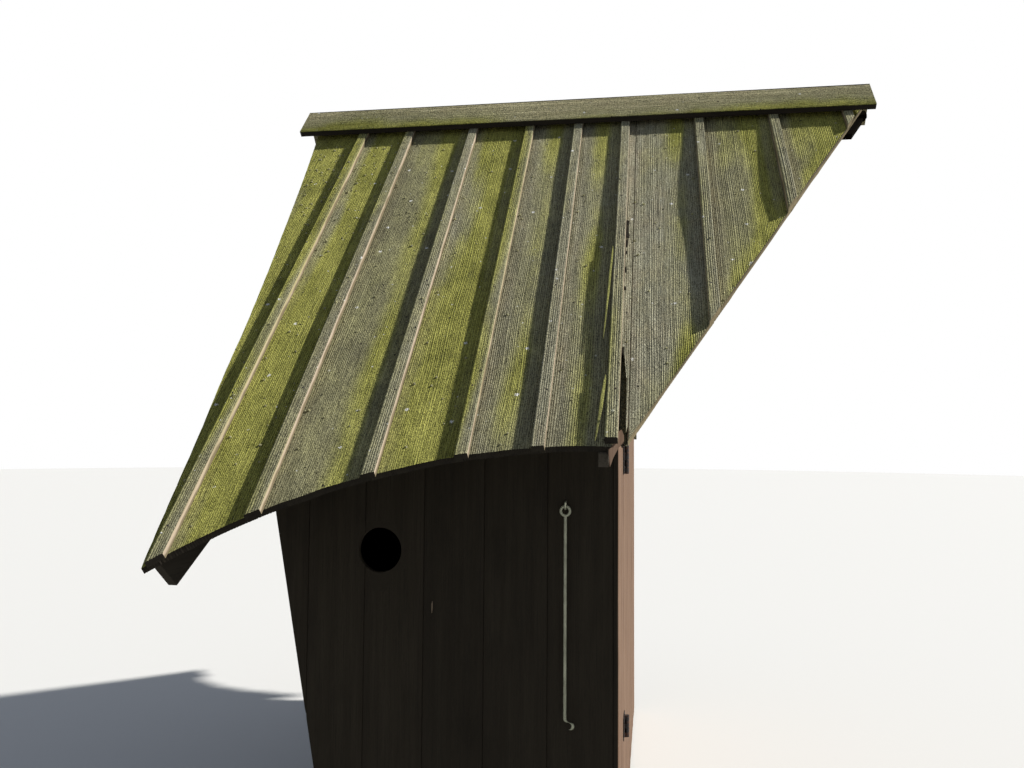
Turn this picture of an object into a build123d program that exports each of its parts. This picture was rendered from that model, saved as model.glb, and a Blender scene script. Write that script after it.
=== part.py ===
from build123d import *
import os
from math import cos, radians, sin, sqrt, tan

# Garden shed: a small timber hut whose deep roof is wider than its walls.
# Millimetres. X runs along the ridge, Y across it, Z up from the ground.
# Y = 0 is the ridge, the front slope faces -Y, and X = 0 is the middle of the ridge cap.

os.makedirs("parts", exist_ok=True)

# Driving dimensions of the roof, which reaches past the long walls by the eave's overhang

roof_pitch = 46.0
apex_height = 2339.0
half_depth = 884.0
eave_overhang = 240.0
eave_run = half_depth + eave_overhang
roof_board = 20.0
batten_width = 30.0
batten_height = 19.0

# Outline of one slope, in the slope's own plane: along the ridge, then down the slope

eave_slope = eave_run / cos(radians(roof_pitch))
left_verge_top = -962.0
left_verge_mid = (-877.0, 793.0)
left_tip = -797.0
tip_drop = 366.0
sweep_start = 150.0
right_verge_top = 986.0
right_verge_foot_x = 214.0
right_verge_rise = 18.0
right_verge_foot_t = eave_slope - right_verge_rise
far_verge_setback = 49.0
sweep_width = sweep_start - left_tip
sweep_radius = (sweep_width**2 + tip_drop**2) / (2 * tip_drop)

# Left edges of the battens, as they lie over the joints of the wide roof boards

split_batten = 163.0
batten_lefts = [-781.0, -607.0, -374.0, -171.0, 0.0, split_batten, 412.0, 659.0, 899.0]
batten_top_gap = 8.0
batten_overrun = 10.0

# Ridge cap of two boards, a little steeper than the slopes, with their lower edges on the battens

cap_length = 2004.0
cap_board = 21.0
cap_pitch = 48.2
cap_foot = 92.0

# Damage beside the batten that stops short of the eave: a strip of the next board has split off

short_batten_cut = 9.0
split_length = 400.0
split_shoulder = 285.0
split_width = 34.0
split_taper = 6.0
split_under_batten = 17.0

# Timbers under the roof

beam_width = 38.0
beam_height = 31.0
beam_right_end = 987.0
arm_width = 22.0
arm_depth = 30.0
arm_setback = 2.0
arm_behind_eave = 12.0
bracket_board = 20.0
bracket_inset = 2.0
bracket_reach = 218.0
bracket_run = eave_run + bracket_reach
bracket_end_depth = 97.0
bracket_end_angle = 38.0
bracket_rise = 29.5
cleat_top = 75.0
cleat_bottom = 181.0
cleat_width = 38.0
cleat_proud = 20.0
rafter_depth = 70.0

# Driving dimensions of the walls

door_face = 187.0
leaning_foot = -536.0
gable_lean = 10.2
side_board = 18.0
gable_board = 14.0
wall_foot = 15.0
post = 45.0
bearer_height = 60.0
floor_board = 20.0
floor_level = bearer_height + floor_board
plate_height = 70.0
frame_play = 2.0

# Round hole in the front wall

hole_x = -428.0
hole_height = 900.0
hole_diameter = 115.0

# Door in the right gable

hinge_y = -540.0
door_gap = 6.0
door_foot_gap = 8.0
door_foot = floor_level + door_foot_gap
door_half_width = -hinge_y - door_gap / 2
door_opening = -hinge_y + door_gap / 2
jamb_cover = 12.0
jamb_edge = door_opening - jamb_cover
head_clearance = 179.0
ledge_height = 95.0
ledge_board = 22.0
ledge_clear = 12.0
ledge_inset = 150.0
brace_width = 110.0
brace_inset = 30.0
upper_hinge_height = 1140.0
lower_hinge_height = 382.0
upper_hinge_length = 100.0
lower_hinge_length = 60.0
hinge_plate = 2.0
hinge_leaf_width = 42.0
hinge_leaf_gap = 1.0
knuckles = 5
knuckle_gap = 0.6
knuckle_root = 4.0
barrel_radius = 6.5
pin_radius = 3.0
pin_clearance = 0.06
barrel_x = door_face + hinge_plate + barrel_radius

# Cabin hook on the front wall

hook_x = 54.0
hook_pivot_height = 1016.0
hook_length = 540.0
hook_rod = 4.0
hook_ring = 11.5
hook_ring_wire = 3.5
screw_eye_ring = 9.0
screw_eye_wire = 2.5
hook_standoff = 12.0
hook_play = 0.4
hook_bend = 9.0
hook_kick = 2.0
hook_tongue = 17.0
wire_sides = 12

# Ground plan lines that follow from the dimensions above

pitch = radians(roof_pitch)
lean_run = tan(radians(gable_lean))
frame_right = door_face - gable_board
gable_across = gable_board / cos(radians(gable_lean))
wall_inside = half_depth - side_board
wall_inside_face = -wall_inside
underside_apex = apex_height - roof_board / cos(pitch)
ridge_reach = 3000.0

front_slope = Plane(origin=(0, 0, apex_height), x_dir=(1, 0, 0), z_dir=(0, -sin(pitch), cos(pitch)))


def underside(y):
    """Height of the roof boards' underside at a distance from the ridge."""
    return underside_apex - abs(y) * tan(pitch)


def leaning_x(z):
    """Outer face of the leaning left gable at a height."""
    return leaning_foot - lean_run * z


def rafter_underside(y):
    """Height of the gable rafters' underside at a distance from the ridge."""
    return underside(y) - rafter_depth / cos(pitch)


# The door's head stays clear of the rafters that come down over its corners

head_top = rafter_underside(jamb_edge + post) - head_clearance
door_top = head_top - post + jamb_cover


def block(x0, x1, y0, y1, z0, z1):
    """A squared timber between two corners."""
    return Pos((x0 + x1) / 2, (y0 + y1) / 2, (z0 + z1) / 2) * Box(x1 - x0, y1 - y0, z1 - z0)


def across(points, x0, x1):
    """A timber with an outline in the YZ plane, running along X."""
    face = make_face(Polyline(*[(x0, y, z) for y, z in points], close=True))
    return extrude(face, amount=x1 - x0, dir=(1, 0, 0))


def upright(points, y0, y1):
    """A panel with an outline in the XZ plane, running along Y."""
    face = make_face(Polyline(*[(x, y0, z) for x, z in points], close=True))
    return extrude(face, amount=y1 - y0, dir=(0, 1, 0))


def far_side(shape):
    """The same piece on the other slope or wall."""
    return mirror(shape, about=Plane.XZ)


def save(name, shape, colour):
    shape.label = name
    shape.color = Color(*colour)
    export_step(shape, os.path.join("parts", name + ".step"))


# Spaces that trim the timbers

under_roof = across(
    [(-ridge_reach, underside(ridge_reach)), (0, underside_apex), (ridge_reach, underside(ridge_reach)),
     (ridge_reach, -ridge_reach), (-ridge_reach, -ridge_reach)],
    -ridge_reach, ridge_reach)
gable_inside = upright(
    [(leaning_x(0) + gable_across, 0), (leaning_x(ridge_reach) + gable_across, ridge_reach),
     (ridge_reach, ridge_reach), (ridge_reach, 0)],
    -ridge_reach, ridge_reach)
front_half = block(-ridge_reach, ridge_reach, -ridge_reach, 0, -ridge_reach, ridge_reach * 2)


# Roof slopes

def eave_at(x):
    """Distance down the slope to the eave, which sweeps down in an arc to the left tip."""
    if x >= sweep_start:
        return eave_slope
    return eave_slope + sweep_radius - sqrt(sweep_radius**2 - (sweep_start - x)**2)


def slope_outline(setback):
    """Outline of a slope, with the foot of its right verge moved back along the eave by the setback."""
    mid = (left_tip + sweep_start) / 2
    tip = (left_tip, -eave_slope - tip_drop)
    foot = (right_verge_foot_x - setback, -right_verge_foot_t)
    lines = Line((left_verge_top, 0), (right_verge_top, 0))
    lines += Line((right_verge_top, 0), foot)
    lines += Line(foot, (sweep_start, -eave_slope))
    lines += ThreePointArc((sweep_start, -eave_slope), (mid, -eave_at(mid)), tip)
    lines += ThreePointArc(tip, (left_verge_mid[0], -left_verge_mid[1]), (left_verge_top, 0))
    return make_face(lines)


def slope_slab(low, high, overrun=0, setback=0):
    """The slope's outline between two distances from the roof boards' top faces, moved down the slope."""
    outline = Pos(0, -overrun, 0) * slope_outline(setback)
    return extrude(front_slope.offset(low) * outline, amount=high - low)


def strip(x0, x1, top, bottom, low, high):
    """A length of timber lying along the slope, from one distance down it to another."""
    box = Pos((x0 + x1) / 2, -(top + bottom) / 2, (low + high) / 2) * Box(x1 - x0, bottom - top, high - low)
    return front_slope * box


def roof_slope():
    """The front slope's boards, with the split beside the short batten."""
    gap_left = split_batten + split_under_batten
    gap_right = gap_left + split_width
    low_end = -eave_slope - roof_board
    shoulder = (gap_right - split_taper, split_shoulder - eave_slope)
    wedge = make_face(Polyline((gap_left, low_end), (gap_right, low_end), shoulder,
                               (gap_left, split_length - eave_slope), close=True))
    crack = extrude(front_slope.offset(-2 * roof_board) * wedge, amount=4 * roof_board)
    return (slope_slab(-roof_board, 0) - crack) & front_half


def battens(setback):
    """The battens of a slope, cut off by its verge and a little past its eave."""
    lengths = []
    for left in batten_lefts:
        bottom = eave_slope + tip_drop + batten_overrun
        if left == split_batten:
            bottom = eave_slope - short_batten_cut
        lengths.append(strip(left, left + batten_width, batten_top_gap, bottom, 0, batten_height))
    outline = slope_slab(0, batten_height, batten_overrun, setback)
    return Compound([piece for length in lengths for piece in (length & outline).solids()])


def cap_half():
    """One board of the ridge cap, mitred against the other over the ridge."""
    steep = radians(cap_pitch)
    foot_y = -cap_foot * cos(pitch) - batten_height * sin(pitch)
    foot_z = apex_height - cap_foot * sin(pitch) + batten_height * cos(pitch)
    mitre_z = foot_z - foot_y * tan(steep)
    outline = [(foot_y, foot_z), (foot_y - cap_board * sin(steep), foot_z + cap_board * cos(steep)),
               (0, mitre_z + cap_board / cos(steep)), (0, mitre_z)]
    return across(outline, -cap_length / 2, cap_length / 2)


roof_front = roof_slope()
roof_back = far_side(slope_slab(-roof_board, 0, setback=far_verge_setback) & front_half)
battens_front = battens(0)
battens_back = far_side(battens(far_verge_setback))
cap_front = cap_half()

# Ridge beam and the pieces that carry the overhanging roof

beam_side = underside(beam_width / 2)
ridge_beam = across(
    [(-beam_width / 2, beam_side), (0, underside_apex), (beam_width / 2, beam_side),
     (beam_width / 2, underside_apex - beam_height), (-beam_width / 2, underside_apex - beam_height)],
    leaning_x(underside_apex), beam_right_end)
ridge_beam = ridge_beam & gable_inside


def eave_arm():
    """Square outrigger under the right end of the eave."""
    arm_end = eave_run - arm_behind_eave
    arm_top = underside(half_depth)
    right = frame_right - arm_setback
    arm = block(right - arm_width, right, -arm_end, -half_depth, underside(arm_end) - arm_depth, arm_top)
    low_edge = across(
        [(-arm_end, underside(arm_end)), (-half_depth, arm_top), (-half_depth, arm_top - arm_depth),
         (-arm_end, underside(arm_end) - arm_depth)], right - arm_width, right)
    return arm & low_edge & under_roof


def tip_bracket():
    """Tapered plank under the low left tip: shallow at its end and deeper towards the wall."""
    end_top = (-bracket_run, underside(bracket_run))
    cut = radians(bracket_end_angle)
    end_foot = (end_top[0] + bracket_end_depth * cos(cut), end_top[1] - bracket_end_depth * sin(cut))
    wall_z = end_foot[1] + tan(radians(bracket_rise)) * (-half_depth - end_foot[0])
    outline = [end_top, end_foot, (-half_depth, wall_z), (-half_depth, underside(half_depth))]
    left = left_tip + bracket_inset
    return across(outline, left, left + bracket_board)


def verge_cleat():
    """Short lath under the right verge where it meets the ridge beam, a little proud of the boards."""
    slant = (right_verge_top - right_verge_foot_x) / right_verge_foot_t
    top_edge = right_verge_top + cleat_proud - slant * cleat_top
    low_edge = right_verge_top + cleat_proud - slant * cleat_bottom
    face = make_face(Polyline((top_edge, -cleat_top), (low_edge, -cleat_bottom),
                              (low_edge - cleat_width, -cleat_bottom), (top_edge - cleat_width, -cleat_top),
                              close=True))
    return extrude(front_slope.offset(-2 * roof_board) * face, amount=roof_board)


# Walls

def side_wall():
    """Boarded wall under the front eave, cut to the lean of the left gable."""
    top = underside(0)
    outline = [(leaning_x(wall_foot), wall_foot), (leaning_x(top), top),
               (frame_right, top), (frame_right, wall_foot)]
    panel = upright(outline, -half_depth, -wall_inside)
    return panel & under_roof


hole = Pos(hole_x, -half_depth, hole_height) * Rot(90, 0, 0) * Cylinder(hole_diameter / 2, 4 * side_board)
eye_y = -half_depth - hook_standoff
eye_z = hook_pivot_height + screw_eye_ring
stem_start = eye_y + screw_eye_ring
stem_length = wall_inside_face - stem_start
stem_base = Plane(origin=(hook_x, stem_start, eye_z), z_dir=(0, 1, 0))
screw_stem = extrude(stem_base * RegularPolygon(screw_eye_wire, wire_sides), amount=stem_length)
front_wall = side_wall() - hole - screw_stem
back_wall = far_side(side_wall())

left_wall = upright(
    [(leaning_x(wall_foot), wall_foot), (leaning_x(underside_apex), underside_apex),
     (leaning_x(underside_apex) + gable_across, underside_apex),
     (leaning_x(wall_foot) + gable_across, wall_foot)],
    -wall_inside, wall_inside) & under_roof


def gable_panel(y0, y1, z0, z1):
    return block(frame_right, door_face, y0, y1, z0, z1) & under_roof


right_wall_front = gable_panel(-half_depth, -door_opening, wall_foot, underside_apex)
right_wall_back = gable_panel(door_opening, half_depth, wall_foot, underside_apex)
right_wall_over = gable_panel(-door_opening, door_opening, door_top + door_gap, underside_apex) - ridge_beam
right_wall_sill = gable_panel(-door_opening, door_opening, wall_foot, floor_level)

# Floor and frame

inner_left = leaning_x(0) + gable_across
bearers = [
    block(inner_left, frame_right, -wall_inside, -wall_inside + post, 0, bearer_height),
    block(inner_left, frame_right, wall_inside - post, wall_inside, 0, bearer_height),
    block(inner_left, frame_right, -post / 2, post / 2, 0, bearer_height),
]
floor_bearers = Compound(bearers)
floor_boards = block(inner_left - lean_run * bearer_height, frame_right, -wall_inside, wall_inside,
                     bearer_height, floor_level)


def right_post(y0, y1, top):
    return block(frame_right - post, frame_right, y0, y1, floor_level, top) & under_roof


def left_post(y0, y1):
    top = underside_apex
    outline = [
        (leaning_x(floor_level) + gable_across, floor_level),
        (leaning_x(top) + gable_across, top),
        (leaning_x(top) + gable_across + post, top),
        (leaning_x(floor_level) + gable_across + post, floor_level),
    ]
    return upright(outline, y0, y1) & under_roof


corner_right_front = right_post(-wall_inside, -wall_inside + post, underside_apex)
corner_right_back = far_side(corner_right_front)
corner_left_front = left_post(-wall_inside, -wall_inside + post)
corner_left_back = far_side(corner_left_front)

post_face = frame_right - frame_play
door_post_front = block(frame_right - post, post_face, -jamb_edge - post, -jamb_edge,
                        floor_level, head_top - post)
door_post_back = far_side(door_post_front)
door_head = block(frame_right - post, post_face, -jamb_edge - post, jamb_edge + post,
                  head_top - post, head_top)


def wall_plate():
    wall_top = underside(wall_inside)
    low = wall_top - plate_height
    left = leaning_x(low) + gable_across + post
    plate = block(left + frame_play, frame_right - post, -wall_inside, -wall_inside + post,
                  low, wall_top + post * 2)
    return plate & under_roof


plate_front = wall_plate()
plate_back = far_side(plate_front)


def gable_rafter():
    """Rafter under the right end of the front slope, from the wall plate up to the ridge beam."""
    run_out = wall_inside - post
    outline = [(0, underside(0)), (-run_out, underside(run_out)),
               (-run_out, rafter_underside(run_out)), (0, rafter_underside(0))]
    return across(outline, frame_right - post, frame_right) - ridge_beam


rafter_front = gable_rafter()
rafter_back = far_side(rafter_front)

# Door leaf

door_leaf = block(frame_right, door_face, -door_half_width, door_half_width, door_foot, door_top)
ledge_edge = jamb_edge - ledge_clear
ledge_low = door_foot + ledge_inset
ledge_high = door_top - ledge_inset
ledge_face = frame_right - ledge_board


def ledge(z):
    return block(ledge_face, frame_right, -ledge_edge, ledge_edge, z - ledge_height / 2, z + ledge_height / 2)


door_ledges = Compound([ledge(ledge_low), ledge(ledge_high)])


def door_brace():
    """Diagonal from the lower ledge at the hinge side to the upper ledge at the free side."""
    foot_z = ledge_low + ledge_height / 2
    head_z = ledge_high - ledge_height / 2
    reach = ledge_edge - brace_inset
    outline = [(-reach, foot_z), (-reach + brace_width, foot_z),
               (reach, head_z), (reach - brace_width, head_z)]
    return across(outline, ledge_face, frame_right)


brace = door_brace()

# Hinges: three knuckles on the wall leaf, two on the door leaf, on one pin

def knuckle(z, length, index):
    """Lower end and height of one of the knuckles."""
    step = length / knuckles
    return z - length / 2 + index * step + knuckle_gap / 2, step - knuckle_gap


def hinge_leaf(z, length, side, indexes):
    """Plate on the face of the wall (side -1) or door (side 1) with its knuckles."""
    inner = hinge_y + side * (door_gap / 2 + hinge_leaf_gap)
    outer = hinge_y + side * hinge_leaf_width
    leaf = block(door_face, door_face + hinge_plate, min(inner, outer), max(inner, outer),
                 z - length / 2, z + length / 2)
    root_end = inner + side * knuckle_root
    for index in indexes:
        low, height = knuckle(z, length, index)
        leaf += block(door_face, barrel_x, min(hinge_y, root_end), max(hinge_y, root_end), low, low + height)
        leaf += Pos(barrel_x, hinge_y, low + height / 2) * Cylinder(barrel_radius, height)
    bore_radius = pin_radius + (pin_clearance if side > 0 else 0)
    return leaf - Pos(barrel_x, hinge_y, z) * Cylinder(bore_radius, length * 2)


def pin(z, length):
    return Pos(barrel_x, hinge_y, z) * Cylinder(pin_radius, length)


hinges = [(lower_hinge_height, lower_hinge_length), (upper_hinge_height, upper_hinge_length)]
hinge_wall_leaves = Compound([hinge_leaf(z, length, -1, (0, 2, 4)) for z, length in hinges])
hinge_door_leaves = Compound([hinge_leaf(z, length, 1, (1, 3)) for z, length in hinges])
hinge_pins = Compound([pin(z, length) for z, length in hinges])

# Cabin hook hanging from its screw eye

ring_z = hook_pivot_height - (hook_ring - hook_ring_wire - screw_eye_wire - hook_play)


def wire_ring(radius, wire):
    """Ring of round wire about the Z axis."""
    return revolve(Plane.XZ * Pos(radius, 0) * RegularPolygon(wire, wire_sides), axis=Axis.Z)


screw_eye = Pos(hook_x, eye_y, eye_z) * Rot(0, 90, 0) * wire_ring(screw_eye_ring, screw_eye_wire)
screw_eye += screw_stem


def hook_path():
    """Straight rod with a kick to the right, a turn back and a tongue across its foot."""
    top = ring_z - hook_ring
    low = hook_pivot_height - hook_length
    bend = hook_bend
    turn_x = hook_x + bend + hook_kick
    sharp = bend * cos(radians(45))
    path = Line((hook_x, eye_y, top), (hook_x, eye_y, low + 3 * bend))
    path += ThreePointArc((hook_x, eye_y, low + 3 * bend),
                          (hook_x + bend - sharp, eye_y, low + 3 * bend - sharp),
                          (hook_x + bend, eye_y, low + 2 * bend))
    path += Line((hook_x + bend, eye_y, low + 2 * bend), (turn_x, eye_y, low + 2 * bend))
    path += ThreePointArc((turn_x, eye_y, low + 2 * bend), (turn_x + bend, eye_y, low + bend),
                          (turn_x, eye_y, low))
    path += Line((turn_x, eye_y, low), (hook_x - hook_tongue, eye_y, low))
    return path


hook_top = Plane(origin=(hook_x, eye_y, ring_z - hook_ring), z_dir=(0, 0, -1))
cabin_hook = sweep(hook_top * RegularPolygon(hook_rod, wire_sides), path=hook_path())
cabin_hook += Pos(hook_x, eye_y, ring_z) * Rot(90, 0, 0) * wire_ring(hook_ring, hook_ring_wire)


# Each piece, in the colour of its own material

weathered = (0.42, 0.41, 0.27)
capping = (0.45, 0.43, 0.25)
stained = (0.13, 0.12, 0.10)
gable_wood = (0.62, 0.49, 0.41)
sawn = (0.50, 0.42, 0.32)
zinc = (0.62, 0.63, 0.57)
black_iron = (0.08, 0.07, 0.07)

save("roof_front", roof_front, weathered)
save("roof_back", roof_back, weathered)
save("battens_front", battens_front, weathered)
save("battens_back", battens_back, weathered)
save("cap_front", cap_front, capping)
save("cap_back", far_side(cap_front), capping)
save("ridge_beam", ridge_beam, stained)
save("eave_arm_front", eave_arm(), stained)
save("eave_arm_back", far_side(eave_arm()), stained)
save("tip_bracket_front", tip_bracket(), stained)
save("tip_bracket_back", far_side(tip_bracket()), stained)
save("verge_cleat", verge_cleat(), stained)
save("front_wall", front_wall, stained)
save("back_wall", back_wall, stained)
save("left_wall", left_wall, stained)
save("right_wall_front", right_wall_front, gable_wood)
save("right_wall_back", right_wall_back, gable_wood)
save("right_wall_over_door", right_wall_over, gable_wood)
save("right_wall_sill", right_wall_sill, gable_wood)
save("floor_bearers", floor_bearers, sawn)
save("floor_boards", floor_boards, sawn)
save("corner_post_right_front", corner_right_front, sawn)
save("corner_post_right_back", corner_right_back, sawn)
save("corner_post_left_front", corner_left_front, sawn)
save("corner_post_left_back", corner_left_back, sawn)
save("door_post_front", door_post_front, sawn)
save("door_post_back", door_post_back, sawn)
save("door_head", door_head, sawn)
save("wall_plate_front", plate_front, sawn)
save("wall_plate_back", plate_back, sawn)
save("rafter_front", rafter_front, sawn)
save("rafter_back", rafter_back, sawn)
save("door_boards", door_leaf, gable_wood)
save("door_ledges", door_ledges, gable_wood)
save("door_brace", brace, gable_wood)
save("hinge_wall_leaves", hinge_wall_leaves, black_iron)
save("hinge_door_leaves", hinge_door_leaves, black_iron)
save("hinge_pins", hinge_pins, black_iron)
save("screw_eye", screw_eye, zinc)
save("cabin_hook", cabin_hook, zinc)
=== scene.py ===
from math import cos, pi, radians, sin, tan

import bmesh
import bpy
import numpy as np
from mathutils import Matrix, Vector


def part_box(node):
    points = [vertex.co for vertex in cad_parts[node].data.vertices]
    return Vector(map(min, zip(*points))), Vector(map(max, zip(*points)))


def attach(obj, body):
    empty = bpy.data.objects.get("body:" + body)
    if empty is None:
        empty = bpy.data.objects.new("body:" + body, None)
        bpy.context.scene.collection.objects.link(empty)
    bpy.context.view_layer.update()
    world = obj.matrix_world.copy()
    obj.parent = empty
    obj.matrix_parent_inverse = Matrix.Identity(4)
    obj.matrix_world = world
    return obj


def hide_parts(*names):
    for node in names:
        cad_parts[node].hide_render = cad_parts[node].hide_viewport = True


# Looks of the garden shed. Metres, in the frame of the CAD part:
# X along the ridge, Y across it, Z up from the ground.

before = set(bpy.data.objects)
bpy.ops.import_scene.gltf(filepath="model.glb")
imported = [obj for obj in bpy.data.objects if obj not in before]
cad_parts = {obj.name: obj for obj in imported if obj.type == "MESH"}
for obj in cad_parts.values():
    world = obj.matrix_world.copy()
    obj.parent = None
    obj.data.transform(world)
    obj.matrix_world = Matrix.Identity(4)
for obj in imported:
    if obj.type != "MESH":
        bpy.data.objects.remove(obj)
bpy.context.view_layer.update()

# Sizes that repeat those of the part, and the small ones of the look

pitch = radians(46)
apex = 2.339
half_depth = 0.884
eave_run = half_depth + 0.24
eave = eave_run / cos(pitch)
roof_board = 0.02
batten_width = 0.03
batten_height = 0.019
left_verge_top = -0.962
left_verge_mid = (-0.877, 0.793)
left_tip = -0.797
tip_drop = 0.366
sweep_start = 0.15
right_verge_top = 0.986
right_verge_foot = 0.214
right_verge_drop = eave - 0.018
far_verge_setback = 0.049
split_batten = 0.163
batten_lefts = [-0.781, -0.607, -0.374, -0.171, 0.0, split_batten, 0.412, 0.659, 0.899]
split_number = batten_lefts.index(split_batten)
batten_overrun = 0.01
batten_start = 0.008
short_batten_cut = 0.009
split_length = 0.4
split_shoulder = 0.285
split_left = split_batten + 0.017
split_right = split_left + 0.034
torn_length = 0.35
cap_length = 2.004
cap_board = 0.021
cap_pitch = radians(48.2)
cap_foot = 0.092
door_face = 0.187
leaning_foot = -0.536
lean = radians(10.2)
side_board = 0.018
gable_board = 0.014
wall_foot = 0.015
floor_level = 0.08
floor_board = 0.02
hole_x = -0.428
hole_height = 0.9
hole_radius = 0.0575
door_half_width = 0.537
door_gap = 0.006
door_opening = door_half_width + door_gap
door_foot = 0.088
door_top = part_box("door_boards")[1].z
hinge_y = -0.54
hinge_heights = [(0.382, 0.06), (1.14, 0.1)]
hinge_plate = 0.002
hinge_leaf_width = 0.042
hook_x = 0.054
hook_pivot = 1.016
hook_length = 0.54
hook_rod = 0.004
hook_ring = 0.0115
hook_ring_wire = 0.0035
eye_ring = 0.009
eye_wire = 0.0025
eye_y = -half_depth - 0.012
hook_kick = 0.002
hook_tongue = 0.017
hook_play = 0.0004
board_gap = 0.0004
roof_play = 0.0005
grain_relief = 0.0015
board_ripple = 0.0006
ridge_spacing = 0.0052
wall_ripple = 0.0009

sweep_radius = ((sweep_start - left_tip)**2 + tip_drop**2) / (2 * tip_drop)
underside_apex = apex - roof_board / cos(pitch)
wall_inside = half_depth - side_board
cap_foot_run = cap_foot * cos(pitch) + batten_height * sin(pitch)
cap_foot_height = apex - cap_foot * sin(pitch) + batten_height * cos(pitch)
cap_top = cap_foot_height + cap_foot_run * tan(cap_pitch) + cap_board / cos(cap_pitch)
cap_width = cap_foot_run / cos(cap_pitch) + cap_board * tan(cap_pitch)


# Smooth random values, the same at every run

seeded = np.random.default_rng
lattice_size = 257
lattice_start = 64


def eased(value, low, high):
    """From 0 to 1, slowly at both ends, as a value goes from low to high."""
    part = np.clip((value - low) / (high - low), 0, 1)
    return part * part * (3 - 2 * part)


def wander(seed, where, reach):
    """Smooth random values between -1 and 1 along a line, changing over the given reach."""
    lattice = seeded(seed).uniform(-1, 1, lattice_size)
    place = np.asarray(where, float) / reach + lattice_start
    index = np.floor(place).astype(int)
    ease = eased(place - index, 0, 1)
    return lattice[index % lattice_size] * (1 - ease) + lattice[(index + 1) % lattice_size] * ease


# The front and the back of the shed

both_sides = ((-1, "front"), (1, "back"))

# Where the boards of each surface lie: across the board, along its grain and out of the surface

def on_slope(side):
    """Roof slope on side -1, the front, or 1, the back: along the ridge, down the slope, out of it."""
    def place(across, along, out):
        run = side * (along * cos(pitch) + out * sin(pitch))
        return np.stack([across, run, apex - along * sin(pitch) + out * cos(pitch)], -1)
    return place


def on_cap(side):
    """Ridge cap board: down from the mitre, along the ridge, out of the board."""
    def place(across, along, out):
        run = side * (across * cos(cap_pitch) + out * sin(cap_pitch))
        return np.stack([along, run, cap_top - across * sin(cap_pitch) + out * cos(cap_pitch)], -1)
    return place


def on_long_wall(side):
    return lambda across, along, out: np.stack([across, side * (half_depth + out), along], -1)


def on_gable(across, along, out):
    return np.stack([door_face + out, across, along], -1)


def on_leaning_wall(across, along, out):
    x = leaning_foot - along * sin(lean) - out * cos(lean)
    return np.stack([x, across, along * cos(lean) - out * sin(lean)], -1)


def on_floor(across, along, out):
    return np.stack([along, across, floor_level + out], -1)


# Battens of the front slope that have bowed away from the boards: where most, over what reach, how far

warped_battens = {split_number: (1.1, 0.5, 0.008), 6: (0.55, 0.25, 0.010), 7: (0.5, 0.25, 0.010)}


def warp(number, t, side=-1):
    """How far the top of a batten has risen at a place down the slope."""
    if side > 0 or number not in warped_battens:
        return np.zeros_like(t)
    most, reach, rise = warped_battens[number]
    return rise * np.exp(-((t - most) / reach)**2)


# Boards as meshes

def spans(seams):
    """The number and the left and right edge of each board between seams."""
    return [(number, *edges) for number, edges in enumerate(zip(seams[:-1], seams[1:]))]


def grain_columns(left, right, spacing, seed):
    """Places across a board that follow its raised grain, and how far each is up a ridge."""
    random = seeded(seed)
    count = max(2, round((right - left) / spacing))
    steps = random.uniform(0.6, 1.4, count)
    grooves = left + (right - left) * np.concatenate([[0], np.cumsum(steps) / steps.sum()])
    places = [left]
    crests = [0.0]
    for low, high in zip(grooves[:-1], grooves[1:]):
        height = random.uniform(0.6, 1)
        places += [low + 0.35 * (high - low), low + 0.75 * (high - low), high]
        crests += [height, height * random.uniform(0.7, 1), 0.0]
    return np.array(places), np.array(crests)


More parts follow.
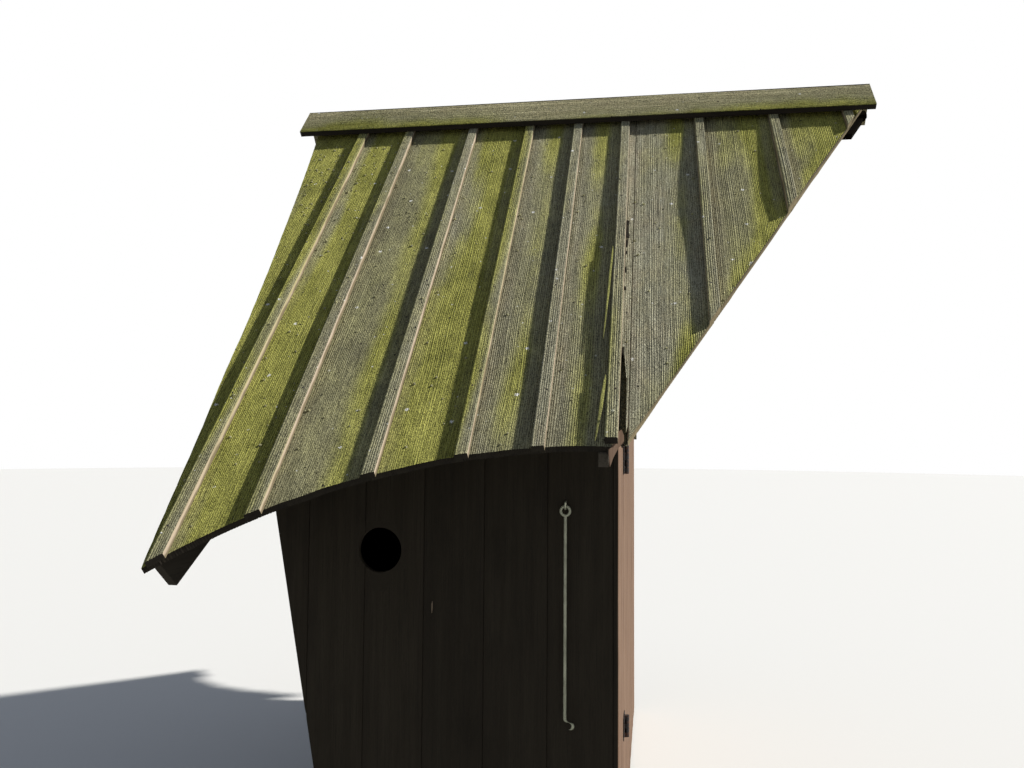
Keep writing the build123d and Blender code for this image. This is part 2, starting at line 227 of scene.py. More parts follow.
def plank(place, across, start, end, face, back, rows, seed, crests=1.0, moss=None, meander=0.0,
          arris=0.0015, cup=0.0, under=None, slanted=None, tone=None):
    """One board: a top with relief at height face, ends, flat sides and a plain back at height back.

    Faces are of kind 0, ends 1, sides 2 and, between places marked as slanted, the lower end 3."""
    start = np.broadcast_to(start, across.shape)
    end = np.broadcast_to(end, across.shape)
    share = np.linspace(0, 1, rows)[:, None]
    along = start + (end - start) * share
    middle = (across - across[0]) / (across[-1] - across[0])
    spread = across + meander * wander(seed, along, 0.23) * np.sin(pi * middle)
    worn = 0.75 + 0.25 * wander(seed + 1, along, 0.31)
    out = face - (1 - crests) * worn * grain_relief
    out = out - cup * (2 * middle - 1)**2 - np.abs(wander(seed + 2, along, 0.4)) * board_ripple
    out[:, [0, -1]] -= arris
    top = place(spread, along, out)
    beneath = across if under is None else under
    count = len(across)
    low_along = np.stack([start, end])
    low_out = np.full((2, count), back)
    low = place(np.stack([beneath, beneath]), low_along, low_out)
    index = np.arange(rows * count).reshape(rows, count)
    first = rows * count + np.arange(count)
    last = first + count
    quads = np.stack([index[:-1, :-1], index[:-1, 1:], index[1:, 1:], index[1:, :-1]], -1).reshape(-1, 4)
    bottom = np.stack([first[:-1], last[:-1], last[1:], first[1:]], -1)
    ends = np.concatenate([
        np.stack([index[0, :-1], first[:-1], first[1:], index[0, 1:]], -1),
        np.stack([index[-1, :-1], index[-1, 1:], last[1:], last[:-1]], -1)])
    sides = [[*index[:, 0], last[0], first[0]], [*index[::-1, -1], first[-1], last[-1]]]
    faces = np.concatenate([quads, bottom, ends]).tolist()
    faces += [list(map(int, side)) for side in sides]
    flat = len(quads) + len(bottom)
    kinds = [0] * flat + [1] * len(ends) + [2] * 2
    if slanted is not None:
        lower_end = [3 if both else 1 for both in slanted[:-1] & slanted[1:]]
        kinds[flat + count - 1:flat + len(ends)] = lower_end
    offset = seeded(seed + 3).uniform(0, 40, 2)
    grain_top = np.stack([spread + offset[0], along + offset[1], out], -1)
    grain_low = np.stack([np.stack([across, across]) + offset[0], low_along + offset[1], low_out], -1)
    soft = np.zeros_like(along) if moss is None else moss(spread, along)
    crest_top = np.broadcast_to(crests, along.shape)
    tone = seeded(seed + 4).uniform(0, 1) if tone is None else tone
    return {
        "points": np.concatenate([top.reshape(-1, 3), low.reshape(-1, 3)]),
        "faces": faces,
        "kinds": kinds,
        "grain": np.concatenate([grain_top.reshape(-1, 3), grain_low.reshape(-1, 3)]),
        "crest": np.concatenate([crest_top.ravel(), np.full(2 * count, 0.5)]),
        "moss": np.concatenate([soft.ravel(), np.zeros(2 * count)]),
        "tone": np.full(rows * count + 2 * count, tone),
    }


def joined(name, planks, materials, replaced=(), body="shed"):
    """All boards of one surface as one piece, which rides on a body and stands for nodes of the part."""
    planks = list(planks)
    faces = []
    start = 0
    for one in planks:
        faces += [[corner + start for corner in face] for face in one["faces"]]
        start += len(one["points"])
    mesh = bpy.data.meshes.new(name)
    mesh.from_pydata(np.concatenate([one["points"] for one in planks]).tolist(), [], faces)
    numbers = ("FLOAT", "value")
    for key, (kind, field) in {"crest": numbers, "moss": numbers, "tone": numbers,
                               "grain": ("FLOAT_VECTOR", "vector")}.items():
        values = np.concatenate([one[key] for one in planks]).astype(np.float32)
        mesh.attributes.new(key, kind, "POINT").data.foreach_set(field, values.ravel())
    for material in materials:
        mesh.materials.append(material)
    kinds = sum((one["kinds"] for one in planks), [])
    mesh.polygons.foreach_set("material_index", [min(kind, len(materials) - 1) for kind in kinds])
    rounded(mesh)
    return placed(name, mesh, replaced, body)


def rounded(mesh):
    """Turns every face of a closed mesh outward and shades it smooth, except over its sharp edges."""
    work = bmesh.new()
    work.from_mesh(mesh)
    bmesh.ops.recalc_face_normals(work, faces=work.faces)
    work.to_mesh(mesh)
    work.free()
    mesh.shade_smooth()
    mesh.set_sharp_from_angle(angle=radians(50))


def mesh_of(work, name):
    """The mesh that a bmesh has been used to build."""
    mesh = bpy.data.meshes.new(name)
    work.to_mesh(mesh)
    work.free()
    return mesh


def linked(name, data):
    """A new object in the scene."""
    made = bpy.data.objects.new(name, data)
    bpy.context.scene.collection.objects.link(made)
    return made


def placed(name, mesh, replaced, body):
    piece = linked(name, mesh)
    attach(piece, body)
    if replaced:
        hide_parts(*replaced)
    return piece


# Node materials

def add(tree, kind, values=None, **settings):
    """A shader node of a kind, with its settings and with each input set or linked."""
    made = tree.nodes.new("ShaderNode" + kind)
    for key, value in settings.items():
        setattr(made, key, value)
    for key, value in (values or {}).items():
        socket = made.inputs[key]
        if isinstance(value, bpy.types.NodeSocket):
            tree.links.new(value, socket)
        else:
            socket.default_value = value
    return made


def mixed(tree, factor, first, second, mode="MIX"):
    """A colour between two, each of which is three numbers or comes from a node."""
    values = {0: factor}
    for place, colour in ((6, first), (7, second)):
        values[place] = colour if isinstance(colour, bpy.types.NodeSocket) else (*colour, 1)
    return add(tree, "Mix", values, data_type="RGBA", blend_type=mode).outputs[2]


def shaped(tree, value, low, high, to_low=0.0, to_high=1.0):
    values = {"Value": value, "From Min": low, "From Max": high, "To Min": to_low, "To Max": to_high}
    return add(tree, "MapRange", values).outputs["Result"]


def varied(tree, value, low=0.0, high=1.0):
    """Noise, nearly all of which lies between 0.3 and 0.7, spread from low to high."""
    return shaped(tree, value, 0.3, 0.7, low, high)


def blended(tree, value, low, high, first, second, most=1.0):
    """From a first colour to a second one, or most of the way, as a value goes from low to high."""
    return mixed(tree, shaped(tree, value, low, high, 0.0, most), first, second)


def sums(tree, operation, first, *others):
    """The values taken together, one after another, by an operation."""
    for other in others:
        first = add(tree, "Math", {0: first, 1: other}, operation=operation).outputs[0]
    return first


def noise(tree, coordinates, stretch, detail=3.0, roughness=0.55):
    """Noise whose cells are stretched: the three numbers are cells per metre along each coordinate."""
    scaled = add(tree, "Mapping", {"Vector": coordinates, "Scale": stretch}).outputs["Vector"]
    values = {"Vector": scaled, "Scale": 1.0, "Detail": detail, "Roughness": roughness}
    return add(tree, "TexNoise", values).outputs["Fac"]


def specks(tree, coordinates, cells, size, share):
    """Small spots with an uneven edge in a share of the cells."""
    values = {"Vector": coordinates, "Scale": (cells, cells, 0.0)}
    scaled = add(tree, "Mapping", values).outputs["Vector"]
    cell = add(tree, "TexVoronoi", {"Vector": scaled, "Scale": 1.0})
    uneven = varied(tree, noise(tree, coordinates, (330, 330, 0), 2.0), -0.6 * size, 0.6 * size)
    near = sums(tree, "LESS_THAN", sums(tree, "ADD", cell.outputs["Distance"], uneven), size)
    chance = add(tree, "SeparateColor", {"Color": cell.outputs["Color"]}).outputs[0]
    return sums(tree, "MULTIPLY", near, sums(tree, "LESS_THAN", chance, share))


def surface(name, look, bump=0.5, distance=0.001, metallic=0.0, gloss=0.1):
    """A material from a function that gives colour, roughness and height in its node tree."""
    material = bpy.data.materials.new(name)
    material.use_nodes = True
    tree = material.node_tree
    shader = tree.nodes["Principled BSDF"]
    colour, roughness, height = look(tree)
    tree.links.new(colour, shader.inputs["Base Color"])
    tree.links.new(roughness, shader.inputs["Roughness"])
    shader.inputs["Metallic"].default_value = metallic
    shader.inputs["Specular IOR Level"].default_value = gloss
    relief = add(tree, "Bump", {"Strength": bump, "Distance": distance, "Height": height})
    tree.links.new(relief.outputs["Normal"], shader.inputs["Normal"])
    return material


def read(tree, name, output="Fac"):
    return add(tree, "Attribute", attribute_name=name).outputs[output]


thin_moss = ((0.29, 0.28, 0.155), (0.44, 0.425, 0.22))
thick_moss = ((0.25, 0.25, 0.06), (0.46, 0.45, 0.12))
groove_shade = (0.28, 0.28, 0.27)
ridge_light = (1.55, 1.55, 1.52)

# Flecks, fresh droppings and old ones: cells per metre, size in a cell, share of cells with one, colour

roof_spots = [(30, 0.10, 0.10, (0.03, 0.028, 0.022)), (19, 0.09, 0.4, (0.92, 0.92, 0.86)),
              (41, 0.10, 0.16, (0.70, 0.70, 0.60))]


def mossy(low, high, rosy, dull):
    """Ridged softwood between two greys, in places rosier or duller, with moss, flecks and droppings."""
    def look(tree):
        grain = read(tree, "grain", "Vector")
        moss = read(tree, "moss")
        fibre = noise(tree, grain, (420, 24, 420), 4.0, 0.65)
        streak = noise(tree, grain, (60, 4, 60), 3.0)
        blotch = noise(tree, grain, (14, 8, 14), 4.0, 0.6)
        crumb = noise(tree, grain, (360, 230, 360), 3.0, 0.7)
        grey = blended(tree, streak, 0.35, 0.65, low, high)
        bare = blended(tree, blotch, 0.45, 0.7, grey, rosy, 0.6)
        bare = blended(tree, read(tree, "tone"), 0, 1, bare, dull, 0.85)
        patch = varied(tree, blotch)
        thin = mixed(tree, patch, *thin_moss)
        thick = mixed(tree, patch, *thick_moss)
        green = blended(tree, moss, 0.55, 1.0, thin, thick)
        spread = sums(tree, "ADD", moss, shaped(tree, blotch, 0.2, 0.8, -0.3, 0.3),
                      varied(tree, fibre, -0.08, 0.08))
        colour = blended(tree, spread, 0.1, 0.85, bare, green)
        crest = shaped(tree, read(tree, "crest"), 0, 1, 0.35, 0.8)
        ridge = sums(tree, "ADD", crest, varied(tree, fibre, -0.3, 0.3), varied(tree, crumb, -0.5, 0.5))
        dark = mixed(tree, 1.0, colour, groove_shade, "MULTIPLY")
        light = mixed(tree, 1.0, colour, ridge_light, "MULTIPLY")
        colour = blended(tree, ridge, 0.1, 0.95, dark, light)
        for cells, size, share, spot in roof_spots:
            colour = mixed(tree, specks(tree, grain, cells, size, share), colour, spot)
        clumps = add(tree, "TexVoronoi", {"Vector": grain, "Scale": 75.0}).outputs["Distance"]
        height = sums(tree, "ADD", shaped(tree, ridge, 0, 1, 0, 0.7), varied(tree, crumb, 0, 0.9),
                      shaped(tree, clumps, 0.12, 0.32, 1.3, 0.0))
        return colour, varied(tree, fibre, 0.82, 0.96), height
    return look


# Near-black brown for dirt beside moss, and for painted shade under the roof on the gable boards.
grime_and_shade_colour = (0.02, 0.016, 0.012)


def weathered(bare, pale, dark):
    """Bare weathered timber between three colours, in the coordinates of its own grain."""
    def look(tree):
        grain = read(tree, "grain", "Vector")
        fibre = noise(tree, grain, (300, 7, 300), 4.0, 0.65)
        streak = noise(tree, grain, (45, 2.2, 45), 3.0)
        blotch = noise(tree, grain, (8, 4, 8), 4.0)
        colour = blended(tree, streak, 0.35, 0.65, bare, pale)
        colour = blended(tree, fibre, 0.5, 0.25, colour, dark, 0.8)
        colour = blended(tree, blotch, 0.5, 0.75, colour, dark, 0.6)
        colour = blended(tree, read(tree, "tone"), 0, 1, colour, dark, 0.3)
        # Darker where the moss attribute is high: dirt by the moss on end faces, painted shade under the
        # roof on the gable boards.
        grime_and_shade = sums(tree, "MULTIPLY", read(tree, "moss"), shaped(tree, fibre, 0.2, 0.8, 1.0, 0.8))
        colour = mixed(tree, grime_and_shade, colour, grime_and_shade_colour)
        return colour, varied(tree, fibre, 0.75, 0.95), fibre
    return look


def batten_side(pale, foot, olive):
    """Side of a batten: pale at its top edge, darker towards its foot, olive where the moss spreads to it.
    """
    def look(tree):
        grain = read(tree, "grain", "Vector")
        fibre = noise(tree, grain, (300, 9, 300), 4.0, 0.65)
        blotch = noise(tree, grain, (20, 9, 20), 3.0)
        out = add(tree, "SeparateXYZ", {"Vector": grain}).outputs["Z"]
        edge = blended(tree, read(tree, "moss"), 0.2, 0.7, pale, olive)
        height = sums(tree, "ADD", out, varied(tree, blotch, -0.005, 0.005))
        colour = blended(tree, height, 0.006, 0.011, foot, edge)
        colour = blended(tree, fibre, 0.5, 0.25, colour, foot, 0.6)
        return colour, varied(tree, fibre, 0.75, 0.95), fibre
    return look


def sawn(axis, bare, pale, dark):
    """Timber of the frame, whose grain runs along one axis of the frame."""
    def look(tree):
        place = add(tree, "TexCoord").outputs["Object"]
        stretch, broad = [190.0] * 3, [24.0] * 3
        stretch[axis], broad[axis] = 4.0, 1.5
        fibre = noise(tree, place, stretch, 4.0, 0.6)
        streak = noise(tree, place, broad, 3.0)
        colour = blended(tree, streak, 0.35, 0.65, bare, pale)
        colour = blended(tree, fibre, 0.5, 0.28, colour, dark, 0.7)
        return colour, varied(tree, fibre, 0.7, 0.92), fibre
    return look


def zinc(tree):
    """Dull galvanised wire with pale bloom and a few dark patches."""
    place = add(tree, "TexCoord").outputs["Object"]
    bloom = noise(tree, place, (60, 60, 25), 4.0, 0.6)
    fine = noise(tree, place, (500, 500, 300), 3.0)
    colour = blended(tree, bloom, 0.35, 0.7, (0.23, 0.235, 0.17), (0.46, 0.47, 0.35))
    colour = blended(tree, fine, 0.55, 0.8, colour, (0.12, 0.11, 0.08), 0.7)
    return colour, varied(tree, bloom, 0.45, 0.65), fine


def black_iron(tree):
    """Old black paint over iron, rubbed and rusty in places."""
    place = add(tree, "TexCoord").outputs["Object"]
    patch = noise(tree, place, (90, 90, 90), 4.0, 0.65)
    fine = noise(tree, place, (600, 600, 600), 3.0)
    colour = blended(tree, patch, 0.5, 0.68, (0.018, 0.016, 0.016), (0.11, 0.05, 0.03))
    colour = blended(tree, fine, 0.62, 0.8, colour, (0.16, 0.13, 0.11), 0.5)
    return colour, varied(tree, patch, 0.45, 0.8), fine


# Colours of each timber: mostly between the first two, and the third in its fibres and patches

stain = ((0.038, 0.031, 0.022), (0.052, 0.043, 0.030), (0.019, 0.016, 0.012))
# Near-black timber of the ridge beam and the verge cleat, far darker than the stain of the walls.
near_black = ((0.008, 0.007, 0.006), (0.012, 0.010, 0.008), (0.005, 0.0045, 0.004))
faded = ((0.195, 0.123, 0.081), (0.259, 0.176, 0.123), (0.101, 0.059, 0.041))
end_grain = ((0.028, 0.024, 0.019), (0.05, 0.043, 0.031), (0.012, 0.010, 0.008))
cut_edge = ((0.23, 0.19, 0.11), (0.34, 0.28, 0.165), (0.13, 0.10, 0.057))
bare_plank = ((0.30, 0.22, 0.15), (0.38, 0.30, 0.21), (0.14, 0.10, 0.07))
sawn_frame = ((0.29, 0.21, 0.14), (0.38, 0.29, 0.20), (0.13, 0.09, 0.06))
beam_end = ((0.10, 0.085, 0.063), (0.13, 0.11, 0.082), (0.06, 0.05, 0.037))
bracket = ((0.042, 0.036, 0.027), (0.056, 0.048, 0.036), (0.026, 0.022, 0.017))

# Colours of the mossy roof: two greys, a rosier one and a dull one

roof_greys = ((0.31, 0.30, 0.215), (0.49, 0.475, 0.35), (0.43, 0.37, 0.28), (0.168, 0.156, 0.085))
cap_greys = ((0.45, 0.41, 0.24), (0.64, 0.59, 0.37), (0.54, 0.45, 0.29), (0.42, 0.39, 0.22))

# Colours of a batten's side: its pale edge, its foot and its mossy edge

batten_edge = ((0.52, 0.425, 0.325), (0.21, 0.17, 0.105), (0.43, 0.39, 0.175))

roof_wood = surface("mossy_roof_wood", mossy(*roof_greys), 0.8, 0.0019)
cap_wood = surface("mossy_cap_wood", mossy(*cap_greys), 0.8, 0.0021)
roof_ends = surface("roof_end_grain", weathered(*end_grain))
verge_edges = surface("cut_verge_wood", weathered(*cut_edge))
batten_sides = surface("batten_side_wood", batten_side(*batten_edge))
dark_wood = surface("dark_stained_wood", weathered(*stain), 0.35)
gable_wood = surface("faded_gable_wood", weathered(*faded), 0.5)
plain_wood = surface("plain_floor_wood", weathered(*bare_plank), 0.4)
frame_woods = [surface("sawn_wood_" + letter, sawn(axis, *sawn_frame), 0.4)
               for axis, letter in enumerate("xyz")]
near_black_woods = [surface("near_black_timber_" + letter, sawn(axis, *near_black), 0.35, gloss=0.0)
                 for axis, letter in enumerate("xy")]
beam_end_wood = surface("beam_end_wood", sawn(1, *beam_end), 0.4)
bracket_wood = surface("tip_bracket_wood", sawn(1, *bracket), 0.4)
gable_frame = surface("faded_ledge_wood", sawn(1, *faded), 0.4)
zinc_wire = surface("galvanised_wire", zinc, 0.25, 0.0004, 0.4, 0.4)
iron = surface("black_iron", black_iron, 0.4, 0.0004, 0.3, 0.4)


# Roof boards

def eave_at(x):
    """Distance down the slope to the eave, which sweeps down to the left tip."""
    reach = np.clip(sweep_start - x, 0, sweep_start - left_tip)
    return eave + sweep_radius - np.sqrt(sweep_radius**2 - reach**2)


def left_verge_at(x):
    """Distance down the slope to the slightly bowed left verge, through its top, middle and tip."""
    x0, x2, tip = left_verge_top, left_tip, eave + tip_drop
    x1, middle = left_verge_mid
    middle_part = middle * (x - x0) * (x - x2) / ((x1 - x0) * (x1 - x2))
    return middle_part + tip * (x - x0) * (x - x1) / ((x2 - x0) * (x2 - x1))


def right_verge_at(x, side):
    """Distance down the slope to the straight right verge, cut further back on the far slope."""
    foot = right_verge_foot - (far_verge_setback if side > 0 else 0)
    return (right_verge_top - x) * right_verge_drop / (right_verge_top - foot)


def slope_end(x, side):
    """Lower end of the slope at each place along the ridge."""
    x = np.asarray(x, float)
    end = np.minimum(eave_at(x), right_verge_at(x, side))
    return np.where(x < left_tip, np.minimum(end + tip_drop, left_verge_at(x)), end)


# Moss and dullness of each bay between two battens, and moss of each batten, from left to right

bay_moss = [0.8, 0.78, 0.42, 0.78, 0.32, 0.34, 0.18, 0.5, 0.56, 0.6]
batten_green = [0.8, 0.5, 0.35, 0.75, 0.25, 0.4, 0.3, 0.3, 0.3]
bay_dull = [0.7, 0.5, 0.9, 0.25, 0.6, 0.5, 0.1, 0.75, 0.9, 0.8]


def roof_moss(x, t):
    """Moss is thin beside a batten, where water drips, and thickest a little before the next one."""
    edges = np.array([left_verge_top, *batten_lefts, right_verge_top])
    bay = np.clip(np.searchsorted(edges, x) - 1, 0, len(edges) - 2)
    from_batten = x - edges[bay] - batten_width
    to_next = edges[bay + 1] - x
    usual = np.array(bay_moss)[bay]
    lush = eased(t, 0.6, 1.2) * (1 - eased(x, -0.3, 0.0))
    moss = usual + 0.45 * (1 - eased(to_next, 0.06, 0.125)) + 0.4 * lush * usual
    moss = moss - 0.45 * (1 - 0.6 * lush) * (1 - eased(from_batten, 0.005, 0.05)) * (bay > 0)
    moss = moss + 0.25 * (1 - eased(t, 0.1, 0.6)) + 0.2 * wander(7, x * 3 + t, 0.3)
    # Painted shade colour: less moss, so greyer, in the strip where the next batten's shadow falls.
    moss = moss - 0.4 * (1 - eased(to_next, 0.025, 0.05))
    verge = right_verge_at(x, -1) - t
    return np.clip(moss + 0.3 * (1 - eased(verge, 0.02, 0.16)), 0, 1)


def batten_moss(x, t):
    """Moss of each batten, thicker on its left half."""
    edges = np.array(batten_lefts)
    number = np.clip(np.searchsorted(edges, x + 1e-6) - 1, 0, len(edges) - 1)
    share = (x - edges[number]) / batten_width
    moss = np.array(batten_green)[number] + 0.2 - 0.4 * share + 0.3 * wander(9, x * 5 + t, 0.3)
    return np.clip(moss, 0, 1)


def torn_away(share, across, seed):
    """How much of the split board is gone at each share of its width, with slivers left."""
    torn = torn_length + (split_shoulder - torn_length) * share
    slivers = eased(share, 0.55, 0.95) * (0.13 + 0.12 * wander(seed + 7, across, 0.0025))
    return torn + 0.03 * wander(seed + 6, across, 0.004) - slivers


def roof_boards(side):
    """The wide boards of one slope, jointed under the battens. The front one has a split at its eave."""
    damaged = side < 0
    verge_trim = 0.001
    joints = [left + batten_width / 2 for left in batten_lefts]
    joints = [left_verge_top + verge_trim, *joints, right_verge_top - verge_trim]
    if damaged:
        joints.insert(joints.index(split_batten + batten_width / 2) + 1, split_right)
    for number, left, right in spans(joints):
        seed = 100 + 10 * number + (500 if side > 0 else 0)
        across, crests = grain_columns(left + board_gap, right - board_gap, ridge_spacing, seed)
        end = slope_end(across, side)
        slanted = right_verge_at(across, side) < eave_at(across)
        rough = 0.0035 * np.abs(wander(seed + 5, across, 0.05))
        end = end - rough - np.where(end > 1, 0.0012 * (1 - crests), 0)
        if damaged and right == split_right:
            end = end - torn_away((across - left) / (right - left), across, seed)
        tone = bay_dull[np.searchsorted(batten_lefts, (left + right) / 2)]
        yield plank(on_slope(side), across, 0.0, end, 0.0, -roof_board, 34, seed, crests, roof_moss,
                    meander=0.004, arris=0.0012, cup=0.0012, slanted=slanted, tone=tone)
    if damaged:
        yield torn_layer()
        yield splinter(top=0.86, foot=1.27, away=0.009, width=0.006, seed=36)
        yield splinter(top=eave - 0.215, foot=eave, away=0.012, width=0.008, seed=37)


def splinter(top, foot, away, width, seed):
    """A mossy sliver torn from the left edge of the short batten.

    Towards its foot it stands away from the batten and sinks, about as the sun's rays do."""
    sun_slope = 0.4
    extra_slope = 0.09

    def place(x, t, n):
        moved = away * (t - top) / (foot - top)
        raised = n + warp(split_number, t)
        return on_slope(-1)(x - moved, t, raised - sun_slope * moved - extra_slope * (split_batten - x))

    across = split_batten - 0.001 - width * np.linspace(1, 0, 5)
    start = top + (foot - top) * np.array([0.35, 0.12, 0.0, 0.02, 0.1])
    end = foot - (foot - top) * np.array([0.0, 0.02, 0.12, 0.3, 0.5])
    return plank(place, across, start, end, batten_height + 0.0002, batten_height - 0.0025, 20, seed,
                 np.ones(5), lambda x, t: np.full_like(x, 0.9), arris=0.0004, tone=0.2)


# Broken places beside the short batten: distance down the slope, length and width

broken_places = [(0.69, 0.035, 0.008), (0.72, 0.05, 0.006), (0.76, 0.03, 0.009), (0.79, 0.045, 0.005),
                 (0.85, 0.02, 0.004), (0.93, 0.03, 0.003), (1.02, 0.02, 0.004), (1.26, 0.06, 0.005)]


def chip_shade_patches():
    """Flat dark patches where the edge of the short batten and the board under it have broken away:
    end-grain colour with painted shade for the broken hollows.
    """
    random = seeded(67)
    side = split_batten + batten_width
    for start, length, width in broken_places:
        across = side + np.linspace(0.001, 0.002 + width, 7)
        ragged = length * random.uniform(0, 0.4, (2, 7))
        yield plank(on_slope(-1), across, start + ragged[0], start + length - ragged[1], 0.0014,
                    -0.002, 4, 70, arris=0.0002, tone=1.0)


def cushion(x, t, out, radius, turn):
    """A small dome of moss on the roof, in the same form as a board."""
    corners = 6
    shoulder = 0.8
    angles = turn + np.arange(corners) * 2 * pi / corners
    circle_x, circle_t = radius * np.cos(angles), radius * np.sin(angles)
    across = np.concatenate([x + circle_x, x + shoulder * circle_x, [x]])
    along = np.concatenate([t + circle_t, t + shoulder * circle_t, [t]])
    height = out + radius * np.concatenate([np.full(corners, -0.4), np.full(corners, 0.6), [0.95]])
    faces = [list(range(corners))[::-1]]
    for corner in range(corners):
        after = (corner + 1) % corners
        faces.append([corner, after, after + corners, corner + corners])
        faces.append([corner + corners, after + corners, 2 * corners])
    count = 2 * corners + 1
    return {"points": on_slope(-1)(across, along, height), "faces": faces, "kinds": [0] * len(faces),
            "grain": np.stack([across, along, height], -1), "crest": np.full(count, 0.85),
            "moss": np.full(count, 0.6), "tone": np.full(count, 0.3)}


def cushions():
    """Moss cushions, thick at the top left of the front slope and scattered over the rest of it."""
    random = seeded(61)
    edges = np.array(batten_lefts)
    tries = 4200
    inset = 0.005
    clear = 0.006
    clear_of_eave = 0.012
    lowest, highest = (left_verge_top, 0.12, 0), (right_verge_top, eave + tip_drop, 1)
    for x, t, chance in random.uniform(lowest, highest, (tries, 3)):
        number = int(np.searchsorted(edges, x))
        before = x - edges[number - 1] if number else 1.0
        ahead = edges[number] - x if number < len(edges) else 1.0
        on_batten = inset < before < batten_width - inset
        on_board = before > batten_width + clear and ahead > clear
        mossy = (1 - eased(x, -0.8, -0.35)) * (1 - 0.8 * eased(t, 0.35, 0.9))
        wanted = 0.07 + 0.75 * mossy
        inside = t < slope_end(x, -1) - clear_of_eave and t < slope_end(x - clear_of_eave, -1)
        if inside and (on_batten or on_board) and chance < wanted:
            out = batten_height + warp(number - 1, t) if on_batten else 0.0
            radius, turn = random.uniform(0.0018, 0.0046), random.uniform(0, pi)
            yield cushion(x, t, out - 0.0006, radius, turn)


def torn_layer():
    """Ragged fibres left at the bottom of the split beside the short batten, darkened all over by the
    painted shade of the grooves.
    """
    columns = 24
    hidden = 0.01
    sunk = 0.0135
    across = np.linspace(split_left - hidden, split_right - 0.0005, columns)
    top = eave - split_length - hidden
    ragged = eave - 0.012 - 0.014 * np.abs(wander(31, across, 0.003))
    # No crests, so the whole layer takes the painted groove shade.
    return plank(on_slope(-1), across, top, ragged, -sunk, -roof_board + 0.0005, 30, 32,
                 np.zeros(columns), tone=1.0)


def on_warped(side, number):
    """Places on a batten, whose top rises where it has bowed while its foot stays on the boards."""
    return lambda x, t, n: on_slope(side)(x, t, n * (1 + warp(number, t, side) / batten_height))


def battens(side):
    """The strips over the joints of one slope. The one beside the split is short."""
    worn_edge = 0.0012
    for number, left in enumerate(batten_lefts):
        seed = 300 + 10 * number + (500 if side > 0 else 0)
        inner, crests = grain_columns(left + worn_edge, left + batten_width - worn_edge, 0.0055, seed)
        across = np.concatenate([[left], inner, [left + batten_width]])
        crests = np.concatenate([[0.6], crests, [0.6]])
        tone = 0.35 if left > left_tip / 2 else 0.6
        end = slope_end(across, side) + batten_overrun
        if left == split_batten:
            end = eave - short_batten_cut
        slanted = right_verge_at(across, side) < eave_at(across)
        yield plank(on_warped(side, number), across, batten_start, end, batten_height, 0.0, 40, seed,
                    crests, batten_moss, meander=0.001, arris=0.0016, slanted=slanted, tone=tone)


def cap_moss(t, x):
    """Moss of the ridge cap, thicker towards its lower edge."""
    uneven = 0.35 * wander(21, x + t, 0.25) + 0.15 * wander(22, x, 0.06)
    return np.clip(0.05 + 8 * (t - 0.03) + uneven, 0, 1)


def cap(side):
    """One of the two long boards of the ridge cap, mitred at the top."""
    across, crests = grain_columns(0, cap_width, 0.0048, 400 + side)
    under = np.maximum(across, cap_board * tan(cap_pitch))
    return [plank(on_cap(side), across, -cap_length / 2, cap_length / 2, 0.0, -cap_board, 60, 410 + side,
                  crests, cap_moss, meander=0.004, arris=0.0014, under=under, tone=0.3)]


board_looks = [roof_wood, roof_ends, roof_ends, verge_edges]
batten_looks = [roof_wood, roof_ends, batten_sides, verge_edges]
cap_looks = [cap_wood, roof_ends, roof_ends]
for side, name in both_sides:
    joined("roof_boards_" + name, roof_boards(side), board_looks, ["roof_" + name])
    joined("batten_strips_" + name, battens(side), batten_looks, ["battens_" + name])
    joined("ridge_cap_" + name, cap(side), cap_looks, ["cap_" + name])
joined("moss_cushions", cushions(), [roof_wood])
# Painted shade: flat dark patches for the hollows of the broken edge.
joined("edge_chips_painted_shade", chip_shade_patches(), [roof_ends])


shard_left = 0.1725
shard_front = -1.125
shard_top = 1.213
shard_turn = radians(35)


def on_shard(across, along, out):
    """A shard turned a little to the sun: to the right and back, down from its top, out of it."""
    x = shard_left + across * cos(shard_turn) + out * sin(shard_turn)
    y = shard_front + across * sin(shard_turn) - out * cos(shard_turn)
    return np.stack([x, y, shard_top - along], -1)


def shard():
    """A broken piece of board that hangs from the split at the eave."""
    width = 0.040
    across = np.linspace(0, width, 14)
    top = np.interp(across, [0, 0.010, 0.027, 0.034, width], [0.045, 0.036, 0.004, 0.0, 0.014])
    foot = np.interp(across, [0, 0.003, 0.012, 0.026, width], [0.055, 0.083, 0.062, 0.040, 0.030])
    return [plank(on_shard, across, top, foot, 0.0015, -0.0015, 6, 38, arris=0.0004, tone=0.2)]


joined("torn_shard", shard(), [gable_wood])


# Wall boards

def wall_columns(left, right, extra=(0.0,), gap=0.0003):
    """Places across a wall board inside its gaps: its edges, its chamfers and a few columns between."""
    left, right = left + gap, right - gap
    chamfer = 0.0022
    inner = np.linspace(left + chamfer, right - chamfer, 9)
    return np.array(sorted({left, right, *inner, *[x for x in extra if left < x < right]}))


def underside(y):
    return underside_apex - np.abs(y) * tan(pitch)


wall_seams = [-0.776, -0.621, -0.468, -0.311, -0.154, 0.008, door_face - gable_board]


def long_wall(side):
    """Upright boards of a long wall, cut at the left to the lean of the gable."""
    shortest_edge = 0.02
    top = underside(half_depth) - roof_play
    for number, left, right in spans(wall_seams):
        seed = 600 + 10 * number + (100 if side > 0 else 0)
        left = max(left, leaning_foot - tan(lean) * (top - shortest_edge))
        across = wall_columns(left, right, (leaning_foot,))
        foot = np.maximum(wall_foot, (leaning_foot - across) / tan(lean))
        crests = 0.75 + 0.25 * wander(seed, across, 0.012)
        yield plank(on_long_wall(side), across, foot, top, 0.0, -side_board, 24, seed, crests,
                    arris=0.002, cup=wall_ripple)


